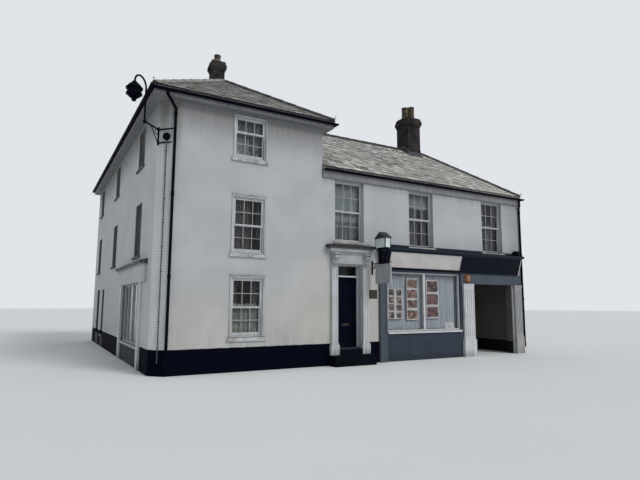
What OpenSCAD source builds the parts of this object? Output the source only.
// Corner shop building: a three-storey house block with a splayed street corner,
// and a two-storey wing with a shop, a panelled front door and a carriage passage.
// The origin is at the foot of the front wall face, where the main block meets the
// wing. X runs along the front street towards the wing's end, Y runs into the
// building, and Z is up.

/* [Main block] */
// Width of the main block along the front street
main_w = 4900; // [4300:10:5900]
// Depth of the main block along the side street
main_d = 14000; // [11600:10:17000]
// Thickness of the main block's outer walls
main_wall_t = 330; // [270:5:400]
// Leg of the splay cut off the street corner
splay = 340; // [280:5:420]
// Plain wall face between the splay and the longer walls
splay_return = 60; // [40:5:120]

/* [Storeys] */
// Ground floor level above the foot of the walls
ground_floor_z = 500; // [400:10:620]
// Ground storey of the main block, floor to floor
ground_storey = 2550; // [2450:10:3060]
// First storey of the main block, floor to floor
first_storey = 2450; // [2040:10:2940]
// Top storey of the main block, floor to wall plate
top_storey = 1720; // [1430:10:2070]
// Ground storey of the wing, floor to floor
wing_ground_storey = 2800; // [2700:10:3360]
// First storey of the wing, floor to wall plate
wing_first_storey = 2400; // [2000:10:2880]
// Thickness of every floor
floor_t = 200; // [160:5:240]

/* [Wing] */
// Length of the wing along the front street
wing_w = 9000; // [7500:10:10800]
// Depth of the wing
wing_d = 5400; // [4500:10:6480]
// Thickness of the wing's outer walls
wing_wall_t = 300; // [250:5:360]
// Clear width of the carriage passage
passage_w = 2010; // [1680:10:2420]
// Width of the pier at the outer side of the passage
end_pier_w = 610; // [510:10:740]
// Width of the pier between the shop window and the passage
mid_pier_w = 700; // [580:10:840]
// Thickness of the wall between the shop and the passage
passage_wall_t = 340; // [280:5:400]
// Headroom under the passage lintel
passage_head_z = 2560; // [2300:10:2800]

/* [Roofs] */
// Pitch of the main roof in degrees
main_pitch = 33; // [28:0.5:41]
// Pitch of the wing roof in degrees
wing_pitch = 37; // [32:0.5:45]
// Overhang of the main eaves
main_overhang = 260; // [215:5:315]
// Overhang of the wing eaves
wing_overhang = 50; // [40:5:60]
// Height of the main fascia board
main_fascia_h = 150; // [125:5:180]
// Height of the wing fascia board
wing_fascia_h = 280; // [230:5:340]
// Thickness of the roof covering, measured upright
roof_t = 100; // [80:5:120]
// Thickness of the eaves boards
board_t = 25; // [18:1:30]
// Radius of the half-round gutters
gutter_r = 60; // [50:1:72]
// Thickness of the gutter metal
gutter_t = 5; // [4:0.5:6]

/* [Windows] */
// Width of the main front window openings
main_win_w = 930; // [780:10:1120]
// Centre of the main front window column from the side-street wall
main_win_x = 2520; // [2000:10:2600]
// Height of the ground window of the main front
ground_win_h = 1605; // [1340:5:1700]
// Sill height of the ground window above the ground floor
ground_win_sill = 420; // [350:10:500]
// Height of the first-floor windows of the main block
first_win_h = 1575; // [1310:5:1660]
// Sill height of the first-floor windows above their floor
first_win_sill = 160; // [130:10:200]
// Sill height of the top windows above their floor
top_win_sill = 420; // [350:10:500]
// Wall left over the top windows, under the wall plate
top_win_margin = 110; // [90:5:130]
// Width of the side-street window openings
side_win_w = 1000; // [830:10:1200]
// Centre of the first side-street window from the front wall
side_win_first = 2610; // [2200:10:2900]
// Centre of the last side-street window from the party wall face
side_win_last = 1550; // [1300:10:1860]
// Width of the wing window openings
wing_win_w = 1080; // [900:10:1300]
// Sill height of the wing windows above the wing's first floor
wing_win_sill = 455; // [380:5:545]
// Wall left over the wing windows, under the wall plate
wing_win_margin = 20; // [16:1:24]
// Centre of the first wing window from the main block
wing_win_first = 995; // [830:5:1190]
// Centre of the middle wing window from the main block
wing_win_mid = 3940; // [3280:10:4720]
// Centre of the last wing window from the wing's end
wing_win_last = 1575; // [1310:5:1890]
// Depth of the reveal in front of the side and wing windows
reveal = 110; // [80:5:130]
// Depth of the reveal in front of the main front windows
front_reveal = 25; // [15:5:40]
// Face width of a window's box frame
frame_face = 75; // [60:5:90]
// Face width of the front and wing windows' box frames, which the wall covers in part
slim_frame_face = 30; // [24:1:36]
// Width of the planted architrave round a main front window
architrave_w = 45; // [38:1:54]
// Depth of a window's box frame
frame_depth = 120; // [100:5:140]
// Face width of a sash
sash_face = 45; // [38:1:54]
// Height of the bottom rail of a main front window's lower sash
bottom_rail = 90; // [75:5:110]
// Thickness of a sash
sash_t = 40; // [34:1:44]
// Thickness of the window glass
glass_t = 6; // [4:1:8]
// Thickness of the window sills of the wing, yard and side street
sill_t = 75; // [60:5:90]
// Thickness of the window sills of the main front
front_sill_t = 110; // [90:5:130]
// Length of a main front sill past its window
front_horn = 90; // [75:5:110]
// Projection of the stone window sills
sill_out = 60; // [45:5:80]

/* [Front door] */
// Width of the front door opening
door_open_w = 920; // [770:10:1100]
// Centre of the front door from the main block
door_x = 975; // [940:5:1100]
// Height of the front door leaf
door_leaf_h = 2140; // [1900:10:2200]
// Height of the light over the front door
overlight_h = 300; // [220:10:320]
// Thickness of a door leaf
leaf_t = 45; // [38:1:54]
// Face width of a door frame
door_frame_face = 45; // [38:1:54]
// Depth of a door frame
door_frame_depth = 90; // [80:5:110]
// Running gap round a door leaf
door_gap = 6; // [5:0.5:8]
// Depth of the front door frame behind the wall face
door_reveal = 190; // [150:5:200]
// Width of a doorcase pilaster
case_pilaster_w = 210; // [175:5:250]
// Projection of the doorcase pilasters
case_out = 90; // [75:5:110]
// Overhang of the doorcase cornice past its frieze
case_cornice_out = 195; // [165:5:230]
// Height of the doorcase cornice
case_cornice_h = 300; // [250:5:340]
// Height of the scroll consoles under the doorcase cornice
console_h = 360; // [300:5:400]
// Width of the scroll consoles
console_w = 170; // [140:5:200]
// Rise of the doorstep
step_h = 310; // [260:10:370]
// Depth of the doorstep in front of the wall
step_depth = 400; // [340:10:480]

/* [Shopfront] */
// Projection of the shop pilasters
shop_out = 80; // [65:5:95]
// Width of the plain shop pilaster beside the front door
plain_pilaster_w = 280; // [230:10:340]
// Wall face between the plain pilaster and the shop window
shop_margin = 60; // [50:5:70]
// Start of the shopfront from the main block
shop_x = 2100; // [2060:10:2300]
// Width of the fluted pilaster beside the shop window
fluted_w = 490; // [410:10:580]
// Sill height of the shop window above the foot of the walls
shop_sill_z = 950; // [800:10:1100]
// Head of the shop window above the foot of the walls
shop_head_z = 2880; // [2600:10:2940]
// Lower edge of the shop fascia
fascia_z = 2940; // [2920:10:2990]
// Projection of the fascia at its lower edge
fascia_foot = 90; // [80:5:110]
// Projection of the fascia at its upper edge
fascia_head = 270; // [230:5:320]
// Length of the fascia past the passage
fascia_end = 290; // [240:10:350]
// Length of the sign board on the fascia
sign_board_w = 3110; // [2600:10:3300]
// Height of the sign board
sign_board_h = 480; // [400:10:500]
// Height of the shop cornice
shop_cornice_h = 160; // [135:5:190]

/* [Side street] */
// Start of the side shop window from the front wall
side_shop_y = 1750; // [1500:10:1900]
// Width of the side shop window
side_shop_w = 3150; // [2630:10:3300]
// Sill height of the side shop window above the foot of the walls
side_shop_sill_z = 620; // [520:10:740]
// Head of every opening in the side street's ground storey
side_head_z = 2400; // [2200:10:2600]
// Width of the narrow side window
narrow_win_w = 700; // [580:10:840]
// Width of the side door opening
side_door_w = 900; // [750:10:1000]
// Wall between the side door opening and the party wall's outer face
side_door_end = 1500; // [1300:10:1700]
// Pier between the narrow side window and the side door
side_pier_w = 900; // [750:10:1080]

/* [Chimneys] */
// Width of the main chimney along the front street
main_stack_w = 420; // [350:10:500]
// Depth of the main chimney
main_stack_d = 420; // [350:10:500]
// Height of the main chimney above the ridge
main_stack_h = 970; // [810:10:1160]
// Centre of the main chimney behind the hip's peak
main_stack_back = 715; // [600:5:860]
// Height of the main chimney's pot
main_pot_h = 250; // [210:10:300]
// Radius of the main chimney's pot
main_pot_r = 120; // [100:5:140]
// Width of the wing chimney along the front street
wing_stack_w = 640; // [600:10:770]
// Depth of the wing chimney
wing_stack_d = 720; // [600:10:860]
// Height of the wing chimney above the ridge
wing_stack_h = 1370; // [1140:10:1640]
// Centre of the wing chimney behind the hip's peak
wing_stack_back = 590; // [495:5:710]
// Height of the wing chimney's first pot
wing_pot_h = 470; // [390:10:560]
// Height of the wing chimney's second pot
wing_tall_pot_h = 560; // [470:10:670]
// Radius of the wing chimney's pots
wing_pot_r = 145; // [120:5:155]

/* [Corner lamp] */
// Arm of the corner lamp below the main wall plate
lamp_drop = 770; // [640:10:920]
// Reach of the lamp's arm
lamp_reach = 640; // [560:10:770]
// Height of the lamp's upright over the arm
lamp_rise = 860; // [720:10:1030]
// Radius of the lamp's swan neck
lamp_bow_r = 235; // [215:5:280]
// Radius of the lamp's pipe
lamp_pipe_r = 24; // [20:1:29]
// Height of the street lantern
street_lantern_h = 520; // [430:10:620]
// Radius of the street lantern's hood
street_lantern_r = 205; // [170:5:245]

/* [Hanging sign] */
// Hanging sign from the main block
hang_x = 1850; // [1810:10:1880]
// Wall side of the hanging sign from the wall
hang_gap = 200; // [165:5:240]
// Width of the hanging sign
hang_w = 770; // [640:10:920]
// Height of the hanging sign
hang_h = 600; // [500:10:720]
// Width of the door lantern's sides towards the door
lantern_side = 500; // [420:10:560]
// Width of the door lantern's front
lantern_front = 220; // [180:10:240]
// Height of the door lantern's body
lantern_body_h = 290; // [240:10:350]

/* [Hidden] */
$fn = 32;

gutter_drop = 10;   // rim of a gutter below the top of its fascia
cut = 1;            // overrun of a cutting shape past the face that it cuts
joint_gap = 2;      // open joint between boards, gutters and roof slopes
seat = 0.3;         // gap where a piece seats on a sloping or turned face
white = "#d9dcdc";
blue_grey = "#6f7d88";
navy = "#151a26";
slate = "#8a8378";

first_floor_z = ground_floor_z + ground_storey;
second_floor_z = first_floor_z + first_storey;
main_top_z = second_floor_z + top_storey;
wing_floor_z = ground_floor_z + wing_ground_storey;
wing_top_z = wing_floor_z + wing_first_storey;
main_x0 = -main_w;
main_mid_x = -main_w / 2;
main_in_x = main_x0 + main_wall_t;
corner_w = max(splay, main_wall_t) + splay_return;

// Ground storey of the wing front, in order along the street
door_x0 = door_x - door_open_w / 2;
door_x1 = door_x + door_open_w / 2;
leaf_foot_z = ground_floor_z + door_gap + 4;
transom_z = leaf_foot_z + door_leaf_h + door_gap;
door_head_z = transom_z + door_frame_face + overlight_h + door_frame_face;
passage_x1 = wing_w - end_pier_w;
passage_x0 = passage_x1 - passage_w;
shop_win_x0 = shop_x + plain_pilaster_w + shop_margin;
shop_win_x1 = passage_x0 - mid_pier_w;

// Side street, in order from the corner
side_shop_y1 = side_shop_y + side_shop_w;
side_door_y1 = main_d - side_door_end;
side_door_y0 = side_door_y1 - side_door_w;
narrow_y1 = side_door_y0 - side_pier_w;
narrow_y0 = narrow_y1 - narrow_win_w;

// Roof planes
main_edge_z = main_top_z + main_fascia_h + roof_t;
main_half = main_w / 2 + main_overhang;
main_ridge_z = main_edge_z + main_half * tan(main_pitch);
wing_edge_z = wing_top_z + wing_fascia_h + roof_t;
wing_half = wing_d / 2 + wing_overhang;
wing_ridge_z = wing_edge_z + wing_half * tan(wing_pitch);

// Window lists: place along the wall, foot of the opening, width, height, reveal, sill
// thickness, face width of the box frame, height of the bottom rail
function win_list(x, sizes, w, depth, sill, face, rail = sash_face) =
    [for (s = sizes) [x, s[0], w, s[1], depth, sill, face, rail]];
top_win_h = top_storey - top_win_sill - top_win_margin;
wing_win_h = wing_first_storey - wing_win_sill - wing_win_margin;
ground_size = [ground_floor_z + ground_win_sill, ground_win_h];
first_size = [first_floor_z + first_win_sill, first_win_h];
top_size = [second_floor_z + top_win_sill, top_win_h];
front_windows = win_list(main_x0 + main_win_x, [ground_size, first_size, top_size], main_win_w,
    front_reveal, front_sill_t, slim_frame_face, bottom_rail);
side_columns = 3;
side_pitch = (main_d - side_win_first - side_win_last) / (side_columns - 1);
side_windows = [for (i = [0 : side_columns - 1])
    each win_list(side_win_first + i * side_pitch, [first_size, top_size], side_win_w, reveal, sill_t,
        frame_face)];
narrow_window = [(narrow_y0 + narrow_y1) / 2, ground_floor_z, narrow_win_w,
    side_head_z - ground_floor_z, reveal, sill_t, frame_face, sash_face];
yard_margin = 1500;
yard_columns = 2;
yard_pitch = (main_d - wing_d - 2 * yard_margin) / (yard_columns - 1);
yard_windows = [for (i = [0 : yard_columns - 1])
    each win_list(wing_d + yard_margin + i * yard_pitch, [ground_size, first_size, top_size],
        side_win_w, reveal, sill_t, frame_face)];
wing_win_z = wing_floor_z + wing_win_sill;
wing_size = [wing_win_z, wing_win_h];
wing_windows = [for (x = [wing_win_first, wing_win_mid, wing_w - wing_win_last])
    each win_list(x, [wing_size], wing_win_w, reveal, sill_t, slim_frame_face)];
back_shop_h = 1450;
back_shop_sill = 800;
back_shop_window = win_list((door_x + shop_win_x1) / 2, [[ground_floor_z + back_shop_sill, back_shop_h]],
    wing_win_w, reveal, sill_t, slim_frame_face);
end_windows = win_list(wing_d / 2, [wing_size], wing_win_w, reveal, sill_t, slim_frame_face);

// The doorcase and the shop cornice end just under the wing's window sills
sill_gap = 5;
case_top_gap = 35;
shop_cornice_top = wing_win_z - sill_t - sill_gap;
fascia_h = shop_cornice_top - shop_cornice_h - fascia_z;
case_top_z = wing_win_z - sill_t - case_top_gap;
case_cornice_z = case_top_z - case_cornice_h;
case_half = door_open_w / 2 + case_pilaster_w;

// A box between two opposite corners
module block(low, high) {
    translate(low) cube(high - low);
}

// Wall frames: x along the wall to the right as seen from outside, y into the wall
module on_front(x, z) {
    translate([x, 0, z]) children();
}
module on_side(y, z) {
    translate([main_x0, y, z]) rotate([0, 0, -90]) children();
}
module on_yard(y, z) {
    translate([0, y, z]) rotate([0, 0, 90]) children();
}
module on_rear(x, z) {
    translate([x, wing_d, z]) rotate([0, 0, 180]) children();
}
module on_end(y, z) {
    translate([wing_w, y, z]) rotate([0, 0, 90]) children();
}
module on_splay(z) {
    translate([main_x0 + splay / 2, splay / 2, z]) rotate([0, 0, -45]) children();
}

// Hole for a window and its sill through a wall of thickness t
module window_hole(win, t) {
    translate([-win[2] / 2, -cut, -win[5]]) cube([win[2], t + 2 * cut, win[3] + win[5]]);
}

// Rectangular ring standing in the wall plane, low edge at z = 0
module ring(w, h, face, depth, foot = 0) {
    low = max(face, foot);
    translate([-w / 2, 0, 0]) difference() {
        cube([w, depth, h]);
        translate([face, -cut, low]) cube([w - 2 * face, depth + 2 * cut, h - face - low]);
    }
}

// Sashes: the upper slides in the outer track and the lower in the inner one
sash_lap = 5;
sash_front = 20;
low_window = 1.35;
function upper_share(win) = win[3] < low_window * win[2] ? 0.36 : 0.5;
function sash_w(win) = win[2] - 2 * win[6];
function meeting_z(win) = win[3] - win[6] - (win[3] - 2 * win[6]) * upper_share(win);

module sash_window(win) {
    face = win[6];
    w = sash_w(win) + 2 * sash_lap;
    translate([0, win[4], 0]) {
        ring(win[2], win[3], face, frame_depth);
        translate([0, sash_front, meeting_z(win) - sash_face / 2])
            ring(w, win[3] - face - meeting_z(win) + sash_face / 2 + sash_lap,
                sash_face + sash_lap, sash_t);
        translate([0, sash_front + sash_t, face - sash_lap])
            ring(w, meeting_z(win) - face + sash_face / 2 + sash_lap,
                sash_face + sash_lap, sash_t, win[7] + sash_lap);
    }
}

// The two panes of a sash window
module sash_panes(win) {
    face = win[6];
    pane_w = sash_w(win) - 2 * sash_face;
    upper_z = meeting_z(win) + sash_face / 2 + sash_lap;
    lower_top = meeting_z(win) - sash_face / 2 - sash_lap;
    translate([-pane_w / 2, win[4] + sash_front + sash_t / 2 - glass_t / 2, upper_z])
        cube([pane_w, glass_t, win[3] - face - sash_face - upper_z]);
    translate([-pane_w / 2, win[4] + sash_front + 1.5 * sash_t - glass_t / 2, face + win[7]])
        cube([pane_w, glass_t, lower_top - face - win[7]]);
}

// Planted architrave round a window: a flat board with a raised bead round its outer edge
architrave_t = 18;
bead_w = 14;
bead_t = 30;
module window_surround(win) {
    w = win[2] + 2 * architrave_w;
    h = win[3] + architrave_w;
    rotate([90, 0, 0]) {
        surround(w, h, architrave_w, architrave_t);
        surround(w, h, bead_w, bead_t);
    }
}

// Three-sided border of thickness t, open at its foot
module surround(w, h, face, t) {
    linear_extrude(t) difference() {
        translate([-w / 2, 0]) square([w, h]);
        translate([-w / 2 + face, -cut]) square([w - 2 * face, h - face + cut]);
    }
}

// Small moulded cap on top of an architrave
cap_h = 42;
cap_out = 62;
cap_horn = 8;
module window_cap(win) {
    w = win[2] + 2 * architrave_w + 2 * cap_horn;
    translate([-w / 2, 0, win[3] + architrave_w]) rotate([90, 0, 90]) linear_extrude(w)
        mirror([1, 0]) difference() {
            square([cap_out, cap_h]);
            translate([cap_out, 0]) circle(r = cap_h - bead_w);
        }
}

// Weathered sill with horns, through a wall of thickness t
module stone_sill(win, t, horn = 60) {
    fall = 15;
    rotate([90, 0, 90]) {
        translate([0, 0, -win[2] / 2]) linear_extrude(win[2])
            polygon([[0, -win[5]], [t, -win[5]], [t, 0], [0, 0]]);
        translate([0, 0, -win[2] / 2 - horn]) linear_extrude(win[2] + 2 * horn)
            polygon([[-sill_out, -win[5]], [0, -win[5]], [0, 0], [-sill_out, -fall]]);
    }
}

// Walls of the main block
module corner_pier() {
    color(white) translate([main_x0, 0, 0]) linear_extrude(main_top_z)
        polygon([[splay, 0], [corner_w, 0], [corner_w, main_wall_t], [main_wall_t, main_wall_t],
            [main_wall_t, corner_w], [0, corner_w], [0, splay]]);
}

module main_front_wall() {
    color(white) difference() {
        block([main_x0 + corner_w, 0, 0], [0, main_wall_t, main_top_z]);
        for (w = front_windows) on_front(w[0], w[1]) window_hole(w, main_wall_t);
    }
}

module side_upper_wall() {
    color(white) difference() {
        block([main_x0, corner_w, side_head_z], [main_in_x, main_d - main_wall_t, main_top_z]);
        for (w = side_windows) on_side(w[0], w[1]) window_hole(w, main_wall_t);
    }
}

module side_piers() {
    color(white) for (span = [[corner_w, side_shop_y], [side_shop_y1, narrow_y0],
            [narrow_y1, side_door_y0], [side_door_y1, main_d - main_wall_t]])
        block([main_x0, span[0], 0], [main_in_x, span[1], side_head_z]);
}

// Low walls under the shop windows, the narrow window and the doors
module stallrisers() {
    color(blue_grey) {
        block([shop_win_x0, 0, 0], [shop_win_x1, wing_wall_t, shop_sill_z - sill_t]);
        block([main_x0, side_shop_y, 0], [main_in_x, side_shop_y1, side_shop_sill_z - sill_t]);
        block([main_x0, narrow_y0, 0], [main_in_x, narrow_y1, narrow_window[1] - sill_t]);
        block([main_x0, side_door_y0, 0], [main_in_x, side_door_y1, ground_floor_z]);
        block([door_x0, 0, 0], [door_x1, wing_wall_t, ground_floor_z]);
    }
}

module yard_wall() {
    color(white) difference() {
        block([-main_wall_t, main_wall_t, 0], [0, main_d - main_wall_t, main_top_z]);
        for (w = yard_windows) on_yard(w[0], w[1]) window_hole(w, main_wall_t);
    }
}

module party_wall() {
    rise = main_ridge_z - roof_t - main_top_z - seat;
    foot = main_fascia_h + main_overhang * tan(main_pitch) - seat;
    color(white) translate([main_x0, main_d, 0]) rotate([90, 0, 0]) linear_extrude(main_wall_t)
        polygon([[0, 0], [main_w, 0], [main_w, main_top_z + foot], [main_w / 2, main_top_z + rise],
            [0, main_top_z + foot]]);
}

// Walls of the wing
module wing_front_piers() {
    color(white) for (span = [[0, door_x0], [door_x1, shop_win_x0], [shop_win_x1, passage_x0],
            [passage_x1, wing_w]])
        block([span[0], 0, 0], [span[1], wing_wall_t, door_head_z]);
}

module wing_front_wall() {
    color(white) difference() {
        block([0, 0, door_head_z], [wing_w, wing_wall_t, wing_top_z]);
        for (w = wing_windows) on_front(w[0], w[1]) window_hole(w, wing_wall_t);
    }
}

frieze_t = 20;
module lintel_beams() {
    margin = 55;
    sink = 12;
    color(blue_grey) {
        block([shop_win_x0, 0, shop_head_z], [shop_win_x1, wing_wall_t, door_head_z]);
        block([passage_x0, 0, passage_head_z], [passage_x1, wing_wall_t, door_head_z]);
        block([shop_win_x1 + frieze_t, -frieze_t, passage_head_z], [wing_w - pipe_strip, 0, fascia_z]);
        difference() {
            block([shop_x, -shop_out, 0], [shop_x + plain_pilaster_w, 0, fascia_z]);
            block([shop_x + margin, -shop_out - cut, shop_sill_z - sill_t],
                [shop_x + plain_pilaster_w - margin, -shop_out + sink, fascia_z - 2 * margin]);
        }
    }
}

module wing_rear_piers() {
    color(white) {
        difference() {
            block([0, wing_d - wing_wall_t, 0], [passage_x0, wing_d, door_head_z]);
            for (w = back_shop_window) on_rear(w[0], w[1]) window_hole(w, wing_wall_t);
        }
        block([passage_x1, wing_d - wing_wall_t, 0], [wing_w, wing_d, door_head_z]);
    }
}

module wing_rear_wall() {
    color(white) difference() {
        block([0, wing_d - wing_wall_t, door_head_z], [wing_w, wing_d, wing_top_z]);
        for (w = wing_windows) on_rear(w[0], w[1]) window_hole(w, wing_wall_t);
    }
}

module wing_end_wall() {
    color(white) difference() {
        block([wing_w - wing_wall_t, wing_wall_t, 0], [wing_w, wing_d - wing_wall_t, wing_top_z]);
        for (w = end_windows) on_end(w[0], w[1]) window_hole(w, wing_wall_t);
    }
}

module passage_wall() {
    color(white) block([passage_x0 - passage_wall_t, wing_wall_t, 0],
        [passage_x0, wing_d - wing_wall_t, wing_floor_z - floor_t]);
}

// Floors, each between the inner faces of its walls
module ground_floors() {
    color("#7a6a58") {
        block([main_in_x, main_wall_t, ground_floor_z - floor_t],
            [-main_wall_t, main_d - main_wall_t, ground_floor_z]);
        block([0, wing_wall_t, ground_floor_z - floor_t],
            [passage_x0 - passage_wall_t, wing_d - wing_wall_t, ground_floor_z]);
    }
}

module first_floors() {
    color("#7a6a58") {
        block([main_in_x, main_wall_t, first_floor_z - floor_t],
            [-main_wall_t, main_d - main_wall_t, first_floor_z]);
        block([0, wing_wall_t, wing_floor_z - floor_t],
            [wing_w - wing_wall_t, wing_d - wing_wall_t, wing_floor_z]);
    }
}

module second_floor() {
    color("#7a6a58") block([main_in_x, main_wall_t, second_floor_z - floor_t],
        [-main_wall_t, main_d - main_wall_t, second_floor_z]);
}

// Upright band between a roof plane and the same plane lower down: run along local x,
// rising from y = 0 to y = half
module slope_band(run, half, edge_z, pitch, depth) {
    rotate([90, 0, 90]) linear_extrude(run)
        polygon([[0, edge_z - depth], [half, edge_z - depth + half * tan(pitch)],
            [half, edge_z + half * tan(pitch)], [0, edge_z]]);
}

// Hipped slope: the band cut to its trapezoid in plan. start and end are 1 at a hip, 0 at a gable
module roof_slope(run, half, edge_z, pitch, depth, start, end) {
    top = edge_z + half * tan(pitch) + cut;
    inset = joint_gap / 2;
    ridge_y = half - joint_gap;
    intersection() {
        slope_band(run, half, edge_z, pitch, depth);
        linear_extrude(top) polygon([[start * inset, 0], [run - end * inset, 0],
            [run - end * (ridge_y + inset), ridge_y], [start * (ridge_y + inset), ridge_y]]);
    }
}

module main_roof() {
    run = main_d + main_overhang;
    color(slate) {
        translate([main_x0 - main_overhang, main_d, 0]) rotate([0, 0, -90])
            roof_slope(run, main_half, main_edge_z, main_pitch, roof_t, 0, 1);
        translate([main_overhang, -main_overhang, 0]) rotate([0, 0, 90])
            roof_slope(run, main_half, main_edge_z, main_pitch, roof_t, 1, 0);
        translate([main_x0 - main_overhang, -main_overhang, 0])
            roof_slope(2 * main_half, main_half, main_edge_z, main_pitch, roof_t, 1, 1);
    }
}

// Everything under the main roof's upper surface, as the wing's roof meets it
module main_envelope(extra) {
    translate([main_x0, main_d + main_overhang, 0]) rotate([90, 0, 0])
        linear_extrude(main_d + 2 * main_overhang)
            polygon([[-main_overhang, main_top_z - extra], [0, main_top_z - extra], [0, 0],
                [main_w + extra, 0], [main_w + extra, main_top_z - extra],
                [main_w + main_overhang + extra, main_top_z - extra],
                [main_w + main_overhang + extra, main_edge_z + extra],
                [main_w / 2, main_ridge_z + extra], [-main_overhang, main_edge_z + extra]]);
}

// Everything under the wing roof's upper surface
module wing_envelope(extra) {
    translate([main_mid_x, 0, 0]) rotate([90, 0, 90]) linear_extrude(wing_w - main_mid_x)
        polygon([[-wing_overhang - extra, 0], [wing_d + wing_overhang + extra, 0],
            [wing_d + wing_overhang + extra, wing_edge_z + extra], [wing_d / 2, wing_ridge_z + extra],
            [-wing_overhang - extra, wing_edge_z + extra]]);
}

module wing_roof() {
    start_x = main_mid_x;
    run = wing_w + wing_overhang - start_x;
    color(slate) difference() {
        union() {
            translate([start_x, -wing_overhang, 0])
                roof_slope(run, wing_half, wing_edge_z, wing_pitch, roof_t, 0, 1);
            translate([wing_w + wing_overhang, wing_d + wing_overhang, 0]) rotate([0, 0, 180])
                roof_slope(run, wing_half, wing_edge_z, wing_pitch, roof_t, 1, 0);
            translate([wing_w + wing_overhang, -wing_overhang, 0]) rotate([0, 0, 90])
                roof_slope(2 * wing_half, wing_half, wing_edge_z, wing_pitch, roof_t, 1, 1);
        }
        main_envelope(joint_gap);
    }
}

// One run of a moulding along a wall face, mitred in plan. The 2D profile has x outward
// and y up; start and end are 1 at an outer corner, 0 at a square end
module run_along(length, reach, start, end) {
    tall = 20000;
    intersection() {
        translate([-reach, 0, 0]) rotate([90, 0, 90]) linear_extrude(length + 2 * reach)
            mirror([1, 0]) children();
        translate([0, 0, -tall / 2]) linear_extrude(tall)
            polygon([[joint_gap / 2, 0], [length - joint_gap / 2, 0],
                [length - joint_gap / 2 + end * reach, -reach],
                [joint_gap / 2 - start * reach, -reach]]);
    }
}

module eaves_profile(overhang, fascia) {
    square([overhang, board_t]);
    translate([overhang - board_t, 0]) square([board_t, fascia]);
}

module gutter_profile(overhang, fascia) {
    translate([overhang + gutter_r, fascia]) difference() {
        circle(r = gutter_r);
        circle(r = gutter_r - gutter_t);
        translate([-gutter_r - cut, 0]) square([2 * gutter_r + 2 * cut, gutter_r + cut]);
    }
}

// The eaves runs of both roofs; each child is the profile for the main, then the wing
module main_eaves_runs(reach) {
    translate([main_x0, main_d, main_top_z]) rotate([0, 0, -90])
        run_along(main_d, reach, 0, 1) children();
    translate([main_x0, 0, main_top_z]) run_along(main_w, reach, 1, 1) children();
    difference() {
        translate([0, 0, main_top_z]) rotate([0, 0, 90])
            run_along(main_d, reach, 1, 0) children();
        wing_envelope(joint_gap);
    }
}

module wing_eaves_runs(reach) {
    translate([0, 0, wing_top_z]) run_along(wing_w, reach, 0, 1) children();
    translate([wing_w, 0, wing_top_z]) rotate([0, 0, 90])
        run_along(wing_d, reach, 1, 1) children();
    translate([wing_w, wing_d, wing_top_z]) rotate([0, 0, 180])
        run_along(wing_w, reach, 1, 0) children();
}

// The soffit over the cut-off corner, in one with the front run
module splay_soffit() {
    side = splay - 4 * joint_gap;
    translate([main_x0 + joint_gap, 0, main_top_z]) linear_extrude(board_t)
        polygon([[0, -board_t], [side, -board_t], [side, 0], [0, side]]);
}

module eaves_boards() {
    color("#b9bcbd") {
        main_eaves_runs(main_overhang) eaves_profile(main_overhang, main_fascia_h);
        wing_eaves_runs(wing_overhang) eaves_profile(wing_overhang, wing_fascia_h);
        splay_soffit();
    }
}

module gutters() {
    main_reach = main_overhang + 2 * gutter_r;
    wing_reach = wing_overhang + 2 * gutter_r;
    color(navy) {
        main_eaves_runs(main_reach) gutter_profile(main_overhang, main_fascia_h - gutter_drop);
        wing_eaves_runs(wing_reach) gutter_profile(wing_overhang, wing_fascia_h - gutter_drop);
    }
}

// A straight pipe between two points
module pipe(a, b, r) {
    d = b - a;
    length = norm(d);
    translate(a) rotate([0, acos(d[2] / length), atan2(d[1], d[0])]) cylinder(h = length, r = r);
}

// A rainwater pipe: outlet under the gutter, swan neck to the wall, and pipe to the foot
pipe_r = 38;
pipe_off = pipe_r + 14;
pipe_foot_z = 230;
pipe_strip = 2 * pipe_r + 54;
module downpipe(x, overhang, eaves_z, fascia, shift) {
    outlet_z = eaves_z + fascia - gutter_drop - gutter_r;
    bend_h = 330;
    clips = 3;
    clip_h = 90;
    lug_w = 40;
    top = [x - shift, -overhang - gutter_r, outlet_z];
    neck = [top[0], top[1], eaves_z - 10];
    bend = [x, -pipe_off, outlet_z - bend_h];
    foot = [x, -pipe_off, pipe_foot_z];
    low_clip = pipe_foot_z + 60;
    clip_pitch = (bend[2] - pipe_foot_z - 260) / clips;
    pipe(top, neck, pipe_r);
    pipe(neck, bend, pipe_r);
    pipe(bend, foot, pipe_r);
    for (p = [neck, bend]) translate(p) sphere(r = pipe_r + 5);
    for (i = [0 : clips]) translate([x, -pipe_off, low_clip + i * clip_pitch]) {
        cylinder(h = clip_h, r = pipe_r + 9);
        translate([-lug_w / 2, 0, 20]) cube([lug_w, pipe_off, clip_h - 40]);
    }
}

module downpipes() {
    color(navy) {
        downpipe(main_x0 + splay + 25, main_overhang, main_top_z, main_fascia_h, 280);
        downpipe(wing_w - pipe_r - 20, wing_overhang, wing_top_z, wing_fascia_h, 30);
    }
}

// Chimneys, each seated on its roof
stack_foot = 900;
brick_course = 75;
oversail = 28;
module layer(w, d, low, high) {
    translate([-w / 2, -d / 2, low]) cube([w, d, high - low]);
}

// Mortar flaunching that slopes from w by d to a flat top
module flaunching(w, d, top_w, top_d, h) {
    intersection() {
        translate([0, d / 2, 0]) rotate([90, 0, 0]) linear_extrude(d)
            polygon([[-w / 2, 0], [w / 2, 0], [top_w / 2, h], [-top_w / 2, h]]);
        translate([-w / 2, 0, 0]) rotate([90, 0, 90]) linear_extrude(w)
            polygon([[-d / 2, 0], [d / 2, 0], [top_d / 2, h], [-top_d / 2, h]]);
    }
}

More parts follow.
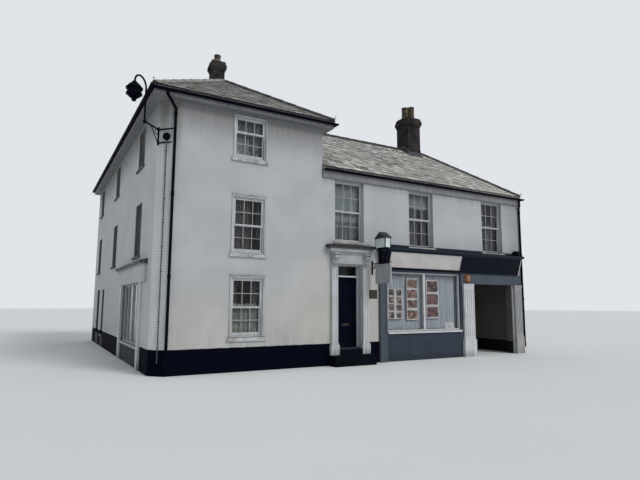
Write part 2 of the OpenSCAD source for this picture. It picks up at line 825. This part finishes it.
// Brick stack: shaft, oversailing courses and flaunching, from the ridge up
module stack(w, d, h) {
    layer(w, d, -stack_foot, h - 5 * brick_course);
    layer(w + 2 * oversail, d + 2 * oversail, h - 5 * brick_course, h - 4 * brick_course);
    layer(w + 4 * oversail, d + 4 * oversail, h - 4 * brick_course, h - 2 * brick_course);
    layer(w + 2 * oversail, d + 2 * oversail, h - 2 * brick_course, h - brick_course);
    translate([0, 0, h - brick_course])
        flaunching(w + 2 * oversail, d + 2 * oversail, w + oversail, d - 3 * oversail, brick_course);
}

// Each stack stands on its ridge, behind the peak of the hip
main_stack = [main_mid_x, main_half - main_overhang + main_stack_back];
wing_stack = [wing_w + wing_overhang - wing_half - wing_stack_back, wing_d / 2];

module main_chimney() {
    color("#2b2522") difference() {
        translate([main_stack[0], main_stack[1], main_ridge_z])
            stack(main_stack_w, main_stack_d, main_stack_h);
        main_envelope(seat);
    }
}

module wing_chimney() {
    color("#2b2522") difference() {
        translate([wing_stack[0], wing_stack[1], wing_ridge_z])
            stack(wing_stack_w, wing_stack_d, wing_stack_h);
        wing_envelope(seat);
    }
}

// Clay pot: a foot, a tapered barrel, a neck bead and a rolled rim
module chimney_pot(h, r) {
    wall = 30;
    taper = 16;
    foot = 40;
    rim = 12;
    bead = 20;
    rotate_extrude() polygon([[r - taper - wall, 0], [r, 0], [r, foot], [r - rim / 2, foot + bead / 2],
        [r - taper, h - 5 * bead], [r - rim / 2, h - 4.5 * bead], [r - taper, h - 4 * bead],
        [r - taper, h - 2 * bead], [r, h - 1.5 * bead], [r, h - rim / 2], [r - rim / 2, h],
        [r - taper - wall, h]]);
}

module chimney_pots() {
    color("#3a2f29") {
        translate([main_stack[0], main_stack[1], main_ridge_z + main_stack_h])
            chimney_pot(main_pot_h, main_pot_r);
        for (s = [[-1, wing_pot_h], [1, wing_tall_pot_h]])
            translate([wing_stack[0] + s[0] * wing_stack_w / 4, wing_stack[1],
                    wing_ridge_z + wing_stack_h])
                chimney_pot(s[1], wing_pot_r);
    }
}

// Windows
module main_sash_windows() {
    color(white) {
        for (w = front_windows) on_front(w[0], w[1]) {
            sash_window(w);
            window_surround(w);
        }
        for (w = concat(side_windows, [narrow_window])) on_side(w[0], w[1]) sash_window(w);
        for (w = yard_windows) on_yard(w[0], w[1]) sash_window(w);
    }
}

module wing_sash_windows() {
    color(white) {
        for (w = wing_windows) on_front(w[0], w[1]) sash_window(w);
        for (w = concat(wing_windows, back_shop_window)) on_rear(w[0], w[1]) sash_window(w);
        for (w = end_windows) on_end(w[0], w[1]) sash_window(w);
    }
}

module window_glass() {
    color("#9fb0b8", 0.5) {
        for (w = concat(front_windows, wing_windows)) on_front(w[0], w[1]) sash_panes(w);
        for (w = concat(side_windows, [narrow_window])) on_side(w[0], w[1]) sash_panes(w);
        for (w = yard_windows) on_yard(w[0], w[1]) sash_panes(w);
        for (w = concat(wing_windows, back_shop_window)) on_rear(w[0], w[1]) sash_panes(w);
        for (w = end_windows) on_end(w[0], w[1]) sash_panes(w);
    }
}

module window_sills() {
    color(white) {
        for (w = front_windows) on_front(w[0], w[1]) stone_sill(w, main_wall_t, front_horn);
        for (w = [front_windows[0], front_windows[1]]) on_front(w[0], w[1]) window_cap(w);
        for (w = wing_windows) on_front(w[0], w[1]) stone_sill(w, wing_wall_t);
        for (w = concat(side_windows, [narrow_window])) on_side(w[0], w[1]) stone_sill(w, main_wall_t);
        for (w = yard_windows) on_yard(w[0], w[1]) stone_sill(w, main_wall_t);
        for (w = concat(wing_windows, back_shop_window)) on_rear(w[0], w[1]) stone_sill(w, wing_wall_t);
        for (w = end_windows) on_end(w[0], w[1]) stone_sill(w, wing_wall_t);
    }
}

// Doorcase: pilasters on base blocks, scroll consoles, and a cornice with mitred returns
base_h = 300;
base_side = 40;
base_out = 25;
module case_pilaster() {
    w = case_pilaster_w;
    shaft_z = step_h + base_h;
    panel_side = 45;
    panel_sink = 12;
    panel_z = shaft_z + 120;
    panel_top = door_head_z - console_h / 3;
    block([-w / 2 - base_side, -case_out - base_out, step_h], [w / 2 + base_side, 0, shaft_z]);
    difference() {
        block([-w / 2, -case_out, shaft_z - cut], [w / 2, 0, door_head_z]);
        block([-w / 2 + panel_side, -case_out - cut, panel_z],
            [w / 2 - panel_side, -case_out + panel_sink, panel_top]);
    }
    translate([0, 0, shaft_z - cut]) border(w, case_out, base_out * 0.6, 40);
    translate([0, 0, shaft_z + 38]) border(w, case_out, base_out * 0.3, 20);
}

// Band of height h round three sides of a pilaster
module border(w, face, out, h) {
    translate([-w / 2 - out, -face - out, 0]) cube([w + 2 * out, face + out, h]);
}

// Panelled lining of the doorway, one board a side and one over the door
lining_t = 20;
module jamb_lining(w, h, rows) {
    side = 35;
    gap = 90;
    sink = 8;
    row_h = (h - gap * (rows + 1)) / rows;
    difference() {
        cube([w, lining_t, h]);
        for (i = [0 : rows - 1]) translate([side, lining_t - sink, gap + i * (row_h + gap)])
            cube([w - 2 * side, sink + cut, row_h]);
    }
}

module doorcase_pilasters() {
    reach = door_reveal - 2 * joint_gap;
    color(white) {
        for (s = [-1, 1]) translate([door_x + s * (door_open_w + case_pilaster_w) / 2, 0, 0])
            case_pilaster();
        for (s = [0, 1]) translate([door_x, 0, 0]) mirror([s, 0, 0])
            translate([-door_open_w / 2, joint_gap + reach, ground_floor_z]) rotate([0, 0, -90])
                jamb_lining(reach, door_head_z - ground_floor_z - lining_t - joint_gap, 3);
        block([door_x0, joint_gap, door_head_z - lining_t],
            [door_x1, joint_gap + reach, door_head_z]);
    }
}

// Cornice profile: x outward, y up, carried back by back
case_fall = 0.08;
module case_section(back) {
    step = case_cornice_h / 10;
    ovolo = 1.5 * step;
    cyma = 1.1 * step;
    cyma_z = 6 * step;
    cyma_x = case_cornice_out - 2 * cyma;
    top_z = cyma_z + 2 * cyma;
    translate([-back, 0]) square([back + step, step]);
    translate([-back, step - cut]) square([back + step, ovolo + 2 * cut]);
    translate([step, step + ovolo]) quarter(ovolo);
    translate([-back, step + ovolo]) square([back + cyma_x - step / 2, cyma_z - step - ovolo]);
    translate([-back, cyma_z - step / 2]) square([back + cyma_x, step / 2 + cyma + cut]);
    translate([cyma_x, cyma_z + cyma]) quarter(cyma);
    translate([-back, cyma_z + cyma]) square([back + cyma_x + cyma, cyma + cut]);
    translate([cyma_x + cyma - cut, cyma_z + cyma]) difference() {
        square([cyma + cut, cyma]);
        translate([cyma + cut, 0]) circle(r = cyma);
    }
    polygon([[-back, top_z], [case_cornice_out, top_z], [case_cornice_out, top_z + step],
        [-back, top_z + step + (case_cornice_out + back) * case_fall]]);
}

// Convex quarter round, below and outside its centre
module quarter(r) {
    intersection() {
        circle(r = r);
        translate([-cut, -r]) square([r + cut, r]);
    }
}

// A moulding with mitred returns, round a frieze half wide each way and face deep. The first
// child is the front's section and the second an end's
module with_returns(half, face, reach) {
    intersection() {
        translate([-half - reach, 0, 0]) rotate([90, 0, 90]) linear_extrude(2 * (half + reach))
            mirror([1, 0]) translate([face, 0]) children(0);
        rotate([90, 0, 0]) linear_extrude(face + reach)
            for (s = [0, 1]) mirror([s, 0]) translate([half, 0]) children(1);
    }
}

// Scroll console against a face at y = 0, its top at z = 0
module console(w, h) {
    roll = h / 5;
    foot_roll = h / 8.5;
    slab = h / 12;
    eye = 6;
    roll_at = [roll + slab / 2, -slab - roll + 5];
    foot_at = [foot_roll, -h + foot_roll];
    waist = h / 3.4;
    translate([-w / 2, 0, 0]) rotate([90, 0, 90]) {
        linear_extrude(w) mirror([1, 0]) {
            translate([0, -slab]) square([2 * roll + slab, slab + cut]);
            translate(roll_at) circle(r = roll);
            translate(foot_at) circle(r = foot_roll);
            difference() {
                translate([0, foot_at[1]]) square([roll + slab, roll_at[1] - foot_at[1]]);
                translate([waist + slab, (foot_at[1] + roll_at[1]) / 2]) circle(r = waist);
            }
        }
        translate([0, 0, -eye]) linear_extrude(w + 2 * eye) mirror([1, 0]) {
            translate(roll_at) circle(r = roll / 2.4);
            translate(foot_at) circle(r = foot_roll / 2.2);
        }
    }
}

module doorcase_entablature() {
    bed = 8;
    head_h = 55;
    head_out = 14;
    color(white) translate([door_x, 0, 0]) {
        block([-case_half, -case_out, door_head_z], [case_half, 0, case_cornice_z + cut]);
        block([-case_half + case_pilaster_w + cut, -case_out - head_out, door_head_z + bed],
            [case_half - case_pilaster_w - cut, -case_out + cut, door_head_z + bed + head_h]);
        translate([0, 0, case_cornice_z]) with_returns(case_half, case_out, case_cornice_out) {
            case_section(case_out);
            case_section(case_half + cut);
        }
        for (s = [-1, 1])
            translate([s * (door_open_w + case_pilaster_w) / 2, -case_out, case_cornice_z + cut]) {
                console(console_w, console_h);
                translate([-console_w / 2, -case_cornice_out / 2, -cut])
                    cube([console_w, case_cornice_out / 2 + cut, case_cornice_h / 4]);
            }
    }
}

module doorway_frame(w, head_z, foot_z, transom) {
    difference() {
        translate([-w / 2, 0, foot_z]) cube([w, door_frame_depth, head_z - foot_z]);
        translate([-w / 2 + door_frame_face, -cut, foot_z - cut])
            cube([w - 2 * door_frame_face, door_frame_depth + 2 * cut,
                transom - foot_z + cut]);
        if (head_z - transom > 2 * door_frame_face)
            translate([-w / 2 + door_frame_face, -cut, transom + door_frame_face])
                cube([w - 2 * door_frame_face, door_frame_depth + 2 * cut,
                    head_z - transom - 2 * door_frame_face]);
    }
}

side_transom_z = side_head_z - door_frame_face;
module door_frames() {
    color(white) {
        on_front(door_x, 0) translate([0, door_reveal, 0])
            doorway_frame(door_open_w, door_head_z, ground_floor_z, transom_z);
        translate([front_hinge[0], front_hinge[1], leaf_foot_z]) frame_knuckles();
        on_side((side_door_y0 + side_door_y1) / 2, 0) translate([0, reveal, 0])
            doorway_frame(side_door_w, side_head_z, ground_floor_z, side_transom_z);
        translate([side_hinge[0], side_hinge[1], leaf_foot_z]) rotate([0, 0, -90]) frame_knuckles();
    }
}

// Butt hinges on the local Z axis: the leaf's knuckle turns between the frame's two
hinge_r = 9;
knuckle_h = 45;
flap_t = 4;
flap_w = 40;
hinge_feet = [250, 1000, 1750];
module knuckle(z, side) {
    translate([0, 0, z]) cylinder(h = knuckle_h, r = hinge_r);
    translate([side > 0 ? 0 : -flap_w, -hinge_r - cut, z]) cube([flap_w, flap_t + cut, knuckle_h]);
}
module leaf_knuckles() {
    for (z = hinge_feet) knuckle(z, 1);
}
module frame_knuckles() {
    for (z = hinge_feet, s = [-1, 1]) knuckle(z + s * (knuckle_h + seat), -1);
}

// Panelled leaf, hinged on the local Z axis and opening towards +y
module leaf(w, h) {
    stile = 110;
    rail = 120;
    sink = 12;
    panel_w = (w - 3 * stile) / 2;
    rows = [0.30, 0.42, 0.28];
    open_h = h - 4 * rail;
    translate([door_gap / 2, -hinge_r, 0]) difference() {
        translate([0, -leaf_t, 0]) cube([w, leaf_t, h]);
        for (c = [0, 1], r = [0, 1, 2]) {
            foot = rail + r * rail + open_h * (r == 0 ? 0 : r == 1 ? rows[0] : rows[0] + rows[1]);
            for (y = [-leaf_t - cut, -sink])
                translate([stile + c * (panel_w + stile), y, foot])
                    cube([panel_w, sink + cut, open_h * rows[r]]);
        }
    }
    leaf_knuckles();
    translate([w - 60, -hinge_r - leaf_t, 1000]) rotate([90, 0, 0]) {
        translate([0, 0, -cut]) cylinder(h = 40, r = 12);
        translate([0, 0, 50]) sphere(r = 28);
    }
}

front_leaf_w = door_open_w - 2 * door_frame_face - 2 * door_gap;
front_hinge = [door_x0 + door_frame_face + door_gap / 2, door_reveal + door_frame_depth + hinge_r];
module front_door() {
    color(navy) translate([front_hinge[0], front_hinge[1], leaf_foot_z])
        leaf(front_leaf_w, door_leaf_h);
}

side_leaf_w = side_door_w - 2 * door_frame_face - 2 * door_gap;
side_leaf_h = side_transom_z - door_gap - leaf_foot_z;
side_hinge = [main_x0 + reveal + door_frame_depth + hinge_r,
    side_door_y1 - door_frame_face - door_gap / 2];
module side_door() {
    color(navy) translate([side_hinge[0], side_hinge[1], leaf_foot_z]) rotate([0, 0, -90])
        leaf(side_leaf_w, side_leaf_h);
}

module doorstep() {
    nosing = 20;
    tread = 110;
    half = case_half + base_side + nosing;
    upper_half = door_open_w / 2 - base_side - joint_gap;
    color("#4a4744") {
        translate([door_x - half, 0, 0]) rotate([90, 0, 90]) linear_extrude(2 * half) mirror([1, 0]) {
            square([step_depth, step_h - nosing]);
            translate([0, step_h - 2 * nosing]) square([step_depth, 2 * nosing]);
            translate([step_depth, step_h - nosing]) circle(r = nosing);
        }
        block([door_x - upper_half, -tread, step_h - cut], [door_x + upper_half, 0, ground_floor_z - 40]);
    }
}

// Shop windows, the front one in two lights and the side one in four
shop_bar = 42;
shop_mullion = 80;
shop_frame_depth = 90;
shop_reveal = 60;
function light_w(w, lights) = (w - 2 * shop_bar - (lights - 1) * shop_mullion) / lights;
module each_light(w, lights) {
    for (i = [0 : lights - 1])
        translate([-w / 2 + shop_bar + i * (light_w(w, lights) + shop_mullion), 0, shop_bar]) children();
}

module glazing_frame(w, h, lights) {
    difference() {
        translate([-w / 2, 0, 0]) cube([w, shop_frame_depth, h]);
        each_light(w, lights) translate([0, -cut, 0])
            cube([light_w(w, lights), shop_frame_depth + 2 * cut, h - 2 * shop_bar]);
    }
}

module glazing_panes(w, h, lights) {
    each_light(w, lights) translate([0, (shop_frame_depth - glass_t) / 2, 0])
        cube([light_w(w, lights), glass_t, h - 2 * shop_bar]);
}

shop_win_w = shop_win_x1 - shop_win_x0;
shop_win_h = shop_head_z - shop_sill_z;
shop_lights = 2;
side_shop_h = side_head_z - side_shop_sill_z;
side_shop_lights = 4;
module shop_window_frames() {
    color(white) {
        on_front((shop_win_x0 + shop_win_x1) / 2, shop_sill_z) {
            translate([0, shop_reveal, 0]) glazing_frame(shop_win_w, shop_win_h, shop_lights);
            stone_sill([0, 0, shop_win_w, 0, 0, sill_t], wing_wall_t, 0);
        }
        on_side((side_shop_y + side_shop_y1) / 2, side_shop_sill_z) {
            translate([0, shop_reveal, 0]) glazing_frame(side_shop_w, side_shop_h, side_shop_lights);
            stone_sill([0, 0, side_shop_w, 0, 0, sill_t], main_wall_t, 0);
        }
    }
}

module shop_glass() {
    color("#9fb0b8", 0.5) {
        on_front((shop_win_x0 + shop_win_x1) / 2, shop_sill_z) translate([0, shop_reveal, 0])
            glazing_panes(shop_win_w, shop_win_h, shop_lights);
        on_side((side_shop_y + side_shop_y1) / 2, side_shop_sill_z) translate([0, shop_reveal, 0])
            glazing_panes(side_shop_w, side_shop_h, side_shop_lights);
        on_front(door_x, transom_z + door_frame_face)
            translate([-door_open_w / 2 + door_frame_face, door_reveal + (door_frame_depth - glass_t) / 2,
                    0])
                cube([door_open_w - 2 * door_frame_face, glass_t, overlight_h]);
    }
}

// Fluted pilaster on a base block, its foot at z = 0
module fluted_pilaster(w, h, side) {
    block_h = 600;
    collar = 45;
    flutes = 5;
    flute_r = w / 22;
    flute_pitch = (w - 4 * flute_r) / (flutes - 1);
    flute_z = block_h + 3 * collar;
    block([-w / 2 - side, -shop_out - base_out, 0], [w / 2 + side, 0, block_h]);
    translate([0, 0, block_h - cut]) border(w, shop_out, min(side, base_out) * 0.6, collar);
    translate([0, 0, h - 2 * collar]) border(w, shop_out, 8, collar / 2);
    translate([0, 0, h - collar]) border(w, shop_out, 16, collar);
    difference() {
        block([-w / 2, -shop_out, block_h - cut], [w / 2, 0, h]);
        for (i = [0 : flutes - 1])
            translate([-w / 2 + 2 * flute_r + i * flute_pitch, -shop_out, flute_z])
                cylinder(h = h - flute_z - 4 * collar, r = flute_r);
    }
}

mid_pilaster_x = shop_win_x1 + mid_pier_w / 2;
end_pilaster_side = 20;
end_pilaster_gap = 75;
end_pilaster_w = end_pier_w - end_pilaster_gap - end_pilaster_side - pipe_strip;
end_pilaster_x = passage_x1 + end_pilaster_gap + end_pilaster_w / 2;
side_pilaster_w = 300;
side_pilaster_out = 60;
module shop_pilasters() {
    color(white) {
        translate([mid_pilaster_x, 0, 0]) fluted_pilaster(fluted_w, passage_head_z, 45);
        translate([end_pilaster_x, 0, 0])
            fluted_pilaster(end_pilaster_w, passage_head_z, end_pilaster_side);
        for (y = [side_shop_y - side_pilaster_w, side_shop_y1])
            block([main_x0 - side_pilaster_out, y, 0], [main_x0, y + side_pilaster_w, side_head_z]);
    }
}

// Splayed fascia, leaning out towards its top
fascia_x1 = passage_x1 + fascia_end;
fascia_lean = (fascia_head - fascia_foot) / fascia_h;
function fascia_y(h) = fascia_foot + h * fascia_lean;
module shop_fascia() {
    color(navy) translate([shop_x, 0, fascia_z]) rotate([90, 0, 90]) linear_extrude(fascia_x1 - shop_x)
        polygon([[0, 0], [-fascia_foot, 0], [-fascia_head, fascia_h], [0, fascia_h]]);
}

// Flat board on the fascia's slope, between two heights on it
module fascia_board(length, low, high, t) {
    rotate([90, 0, 90]) linear_extrude(length)
        polygon([[-fascia_y(low) - seat, low], [-fascia_y(low) - t, low],
            [-fascia_y(high) - t, high], [-fascia_y(high) - seat, high]]);
}

// The sign board in its raised rim, and the strip that ends the fascia
module sign_board() {
    foot = (fascia_h - sign_board_h) / 1.25;
    rim = 25;
    strip_w = 35;
    color(white) {
        translate([shop_win_x0 - rim, 0, fascia_z]) {
            fascia_board(sign_board_w, foot, foot + sign_board_h, 18);
            fascia_board(rim, foot, foot + sign_board_h, 30);
            translate([sign_board_w - rim, 0, 0]) fascia_board(rim, foot, foot + sign_board_h, 30);
            fascia_board(sign_board_w, foot, foot + rim, 30);
            fascia_board(sign_board_w, foot + sign_board_h - rim, foot + sign_board_h, 30);
        }
        translate([fascia_x1 - strip_w, 0, fascia_z]) fascia_board(strip_w, 0, fascia_h - cut, 14);
    }
}

// Shop cornice profile, carried back by back
module shop_section(back) {
    step = shop_cornice_h / 8;
    out = 4 * step;
    translate([-back, 0]) square([back + step, 2 * step]);
    translate([-back, 2 * step - cut]) square([back + 2 * step, step + cut]);
    translate([2 * step, 3 * step]) quarter(step);
    translate([-back, 3 * step - cut]) square([back + out, 3.5 * step]);
    polygon([[-back, 6 * step], [out, 6 * step], [out, 6.5 * step], [-back, 8 * step]]);
}

module shop_cornice() {
    reach = shop_cornice_h / 2;
    half = (fascia_x1 - shop_x) / 2;
    color(blue_grey) translate([shop_x + half, 0, fascia_z + fascia_h])
        with_returns(half, fascia_head, reach) {
            shop_section(fascia_head);
            shop_section(half + cut);
        }
}

// Entablature over the side shop window and the openings beside it
module side_shop_entablature() {
    past = side_pilaster_w + 50;
    reach = 900;
    h = 620;
    face = 90;
    lean = 20;
    out = 230;
    color(white) translate([main_x0, side_shop_y1 + past, side_head_z]) rotate([0, 0, -90])
        rotate([90, 0, 90]) linear_extrude(side_shop_w + past + reach)
            polygon([[0, 0], [-face, 0], [-face - lean, h - 220], [-out, h - 100], [-out, h - 50],
                [0, h]]);
}

// Carved head on the pier by the passage: a roundel, a roll of hair and a plain face
boss_r = 165;
module carved_boss() {
    back = 40;
    hair_r = 32;
    face_r = 108;
    chin_r = 78;
    chin_drop = 70;
    color("#8a6a58") translate([mid_pilaster_x, -frieze_t, (passage_head_z + fascia_z) / 2 - 5])
        rotate([90, 0, 0]) {
            cylinder(h = back, r = boss_r);
            translate([0, 0, back]) rotate_extrude() translate([boss_r - hair_r - 8, 0])
                circle(r = hair_r);
            translate([0, 15, back]) intersection() {
                sphere(r = face_r);
                cylinder(h = face_r + cut, r = face_r + cut);
            }
            translate([0, 15 - chin_drop, back]) intersection() {
                sphere(r = chin_r);
                cylinder(h = chin_r + cut, r = chin_r + cut);
            }
        }
}

// Lamp at the splay's left edge: plate, straps, arm with a stay, upright and swan neck
splay_half = splay / sqrt(2);
lamp_z = main_top_z - lamp_drop;
plate_w = 50;
plate_t = 12;
lamp_x = -splay_half + plate_w / 2;
plate_low = 450;
plate_high = 50;
module lamp_bracket() {
    arm = 32;
    strap_h = 40;
    strap_t = 8;
    stay_r = 12;
    ring_r = 70;
    stay_reach = 350;
    color(navy) on_splay(lamp_z) {
        translate([lamp_x - plate_w / 2, -plate_t - seat, -plate_low])
            cube([plate_w, plate_t, plate_low + plate_high]);
        translate([lamp_x, -strap_t - seat, -strap_h]) cube([splay_half - lamp_x, strap_t, strap_h]);
        translate([lamp_x, -strap_t - seat, strap_h - plate_low])
            cube([splay_half - lamp_x - plate_w, strap_t, strap_h]);
        translate([lamp_x - arm / 2, -lamp_reach, -arm]) cube([arm, lamp_reach - plate_t, arm]);
        pipe([lamp_x, -plate_t, -plate_low + strap_h], [lamp_x, -stay_reach, -arm / 2], stay_r);
        translate([lamp_x, -ring_r - plate_t - stay_r, -arm - ring_r]) rotate([0, 90, 0])
            rotate_extrude() translate([ring_r, 0]) circle(r = stay_r - 2);
        translate([lamp_x, -lamp_reach, -2 * arm]) cylinder(h = lamp_rise + 2 * arm, r = lamp_pipe_r);
        translate([lamp_x, -lamp_reach, -1.5 * arm]) cylinder(h = 2 * arm, r = lamp_pipe_r + 14);
        translate([lamp_x, -lamp_reach - lamp_bow_r, lamp_rise]) rotate([0, 0, 90])
            rotate([90, 0, 0]) rotate_extrude(angle = 180) translate([lamp_bow_r, 0])
                circle(r = lamp_pipe_r);
    }
}

// Street lantern under the swan neck: cap, hood, glass and foot in one revolve
module street_lantern() {
    r = street_lantern_r;
    h = street_lantern_h;
    color("#1c1c1e")
        on_splay(lamp_z + lamp_rise - h - seat) translate([lamp_x, -lamp_reach - 2 * lamp_bow_r, 0])
            rotate_extrude() polygon([[0, 0], [0.22 * r, 0], [0.3 * r, 0.05 * h], [0.24 * r, 0.09 * h],
                [0.66 * r, 0.22 * h], [0.8 * r, 0.3 * h], [0.95 * r, 0.32 * h], [0.95 * r, 0.37 * h],
                [0.84 * r, 0.39 * h], [0.84 * r, 0.58 * h], [r, 0.6 * h], [r, 0.65 * h],
                [0.9 * r, 0.68 * h], [0.62 * r, 0.83 * h], [0.3 * r, 0.9 * h], [0.36 * r, 0.93 * h],
                [0.2 * r, 0.96 * h], [0.2 * r, h], [0, h]]);
}

// Alarm bell on the splay, between the lamp's straps
module bell_box() {
    r = 100;
    depth = 90;
    drop = 235;
    color("#1c1c1e") on_splay(lamp_z - drop) translate([r / 2, -seat, 0]) rotate([90, 0, 0])
        rotate_extrude() polygon([[0, 0], [r, 0], [r, 0.6 * depth], [0.86 * r, 0.85 * depth],
            [0.5 * r, depth], [0, depth]]);
}

// Hanging sign and the lantern over it, beside the front door
arm_t = 25;
arm_z = door_head_z + 40;
hang_mid = hang_gap + hang_w / 2;
module sign_bracket() {
    plate_wide = 60;
    plate_tall = 450;
    plate_top = 110;
    rod = 9;
    brace_r = hang_gap - plate_t - 2 * rod;
    sunk = 4;
    tip = 40;
    color(navy) translate([hang_x, 0, arm_z]) {
        translate([-plate_wide / 2, -plate_t, plate_top - plate_tall])
            cube([plate_wide, plate_t, plate_tall]);
        translate([-arm_t / 2, -hang_gap - hang_w - tip, 0])
            cube([arm_t, hang_gap + hang_w + tip - plate_t + cut, arm_t]);
        translate([0, sunk - plate_t, sunk]) rotate([0, 90, 0]) rotate([0, 0, -90])
            rotate_extrude(angle = 90) translate([brace_r, 0]) circle(r = rod);
        translate([0, -plate_t - brace_r / 3, -brace_r / 3]) rotate([0, 90, 0])
            rotate_extrude() translate([brace_r / 3, 0]) circle(r = rod);
    }
}

// Bare framed panel on two hangers under the arm
module hanging_sign() {
    panel_t = 24;
    rim = 30;
    rim_t = 44;
    drop = 30;
    hanger_r = 7;
    color(white) translate([hang_x, -hang_gap - hang_w, arm_z - drop - hang_h]) {
        translate([-panel_t / 2, rim - cut, rim - cut])
            cube([panel_t, hang_w - 2 * rim + 2 * cut, hang_h - 2 * rim + 2 * cut]);
        difference() {
            translate([-rim_t / 2, 0, 0]) cube([rim_t, hang_w, hang_h]);
            translate([-rim_t / 2 - cut, rim, rim])
                cube([rim_t + 2 * cut, hang_w - 2 * rim, hang_h - 2 * rim]);
        }
        for (y = [hang_w / 5, hang_w * 4 / 5]) translate([0, y, hang_h - cut])
            cylinder(h = drop + cut, r = hanger_r);
    }
}

// Lantern on four splayed legs, with a gable on each face
lantern_foot = 430;
lantern_tray = 20;
lantern_post = 24;
module door_lantern() {
    w = lantern_front;
    d = lantern_side;
    h = lantern_body_h;
    eave = 25;
    side_gable = 0.42 * d;
    front_gable = 0.5 * w;
    leg = 18;
    leg_gap = 30;
    color(navy) translate([hang_x, -hang_mid, arm_z + arm_t]) {
        translate([-arm_t, -2 * arm_t, 0]) cube([2 * arm_t, 4 * arm_t, lantern_tray]);
        for (s = [-1, 1], t = [-1, 1])
            translate([(s * leg_gap - leg) / 2, 0, lantern_tray / 2]) rotate([90, 0, 90])
                linear_extrude(leg) polygon([[t * arm_t - leg / 2, 0], [t * arm_t + leg / 2, 0],
                    [t * (d / 2 - arm_t) + leg / 2, lantern_foot],
                    [t * (d / 2 - arm_t) - leg / 2, lantern_foot]]);
        translate([0, 0, lantern_foot]) {
            translate([-w / 2, -d / 2, 0]) cube([w, d, lantern_tray]);
            for (s = [-1, 1], t = [-1, 1])
                translate([s * (w - lantern_post) / 2 - lantern_post / 2,
                        t * (d - lantern_post) / 2 - lantern_post / 2, lantern_tray - cut])
                    cube([lantern_post, lantern_post, h + 2 * cut]);
            translate([-w / 2 - eave, 0, lantern_tray + h]) rotate([90, 0, 90]) linear_extrude(w + 2 * eave)
                gable(d / 2 + eave, side_gable);
            translate([0, d / 2 + eave + cut, lantern_tray + h]) rotate([90, 0, 0])
                linear_extrude(d + 2 * (eave + cut)) gable(w / 2 + eave - cut, front_gable);
        }
    }
}

module gable(half, h) {
    polygon([[-half, 0], [half, 0], [half, lantern_tray], [0, h], [-half, lantern_tray]]);
}

// Opal panes between the lantern's posts
module lantern_panes() {
    pane_t = 5;
    inset = 6;
    pane_z = arm_z + arm_t + lantern_foot + lantern_tray;
    side_w = lantern_side - 2 * lantern_post;
    front_w = lantern_front - 2 * lantern_post;
    color("#e4e6e0") translate([hang_x, -hang_mid, pane_z]) for (s = [-1, 1]) {
        translate([s * (lantern_front / 2 - inset) - pane_t / 2, -side_w / 2, 0])
            cube([pane_t, side_w, lantern_body_h]);
        translate([-front_w / 2, s * (lantern_side / 2 - inset) - pane_t / 2, 0])
            cube([front_w, pane_t, lantern_body_h]);
    }
}

// Floodlight over the shop cornice: wall plate, arm and a tilted box
flood_x = 150;
module floodlight() {
    w = 240;
    h = 170;
    d = 90;
    tilt = 25;
    arm_len = 110;
    plate = 90;
    color("#23262a") translate([passage_x1 + flood_x, 0, shop_cornice_top + 120]) {
        translate([-plate / 2, -plate_t, -plate / 2]) cube([plate, plate_t, plate]);
        translate([-arm_t / 2, -arm_len, -arm_t / 2]) cube([arm_t, arm_len - plate_t + cut, arm_t]);
        translate([-w / 2, -arm_len, 0]) rotate([tilt, 0, 0]) translate([0, -d, -h / 2])
            cube([w, d, h]);
    }
}

corner_pier();
main_front_wall();
side_upper_wall();
side_piers();
stallrisers();
yard_wall();
party_wall();
wing_front_piers();
wing_front_wall();
lintel_beams();
wing_rear_piers();
wing_rear_wall();
wing_end_wall();
passage_wall();
ground_floors();
first_floors();
second_floor();
main_roof();
wing_roof();
eaves_boards();
gutters();
downpipes();
main_chimney();
wing_chimney();
chimney_pots();
main_sash_windows();
wing_sash_windows();
window_glass();
window_sills();
doorcase_pilasters();
doorcase_entablature();
door_frames();
front_door();
doorstep();
side_door();
shop_window_frames();
shop_glass();
shop_pilasters();
shop_fascia();
sign_board();
shop_cornice();
side_shop_entablature();
carved_boss();
lamp_bracket();
street_lantern();
bell_box();
sign_bracket();
hanging_sign();
door_lantern();
lantern_panes();
floodlight();
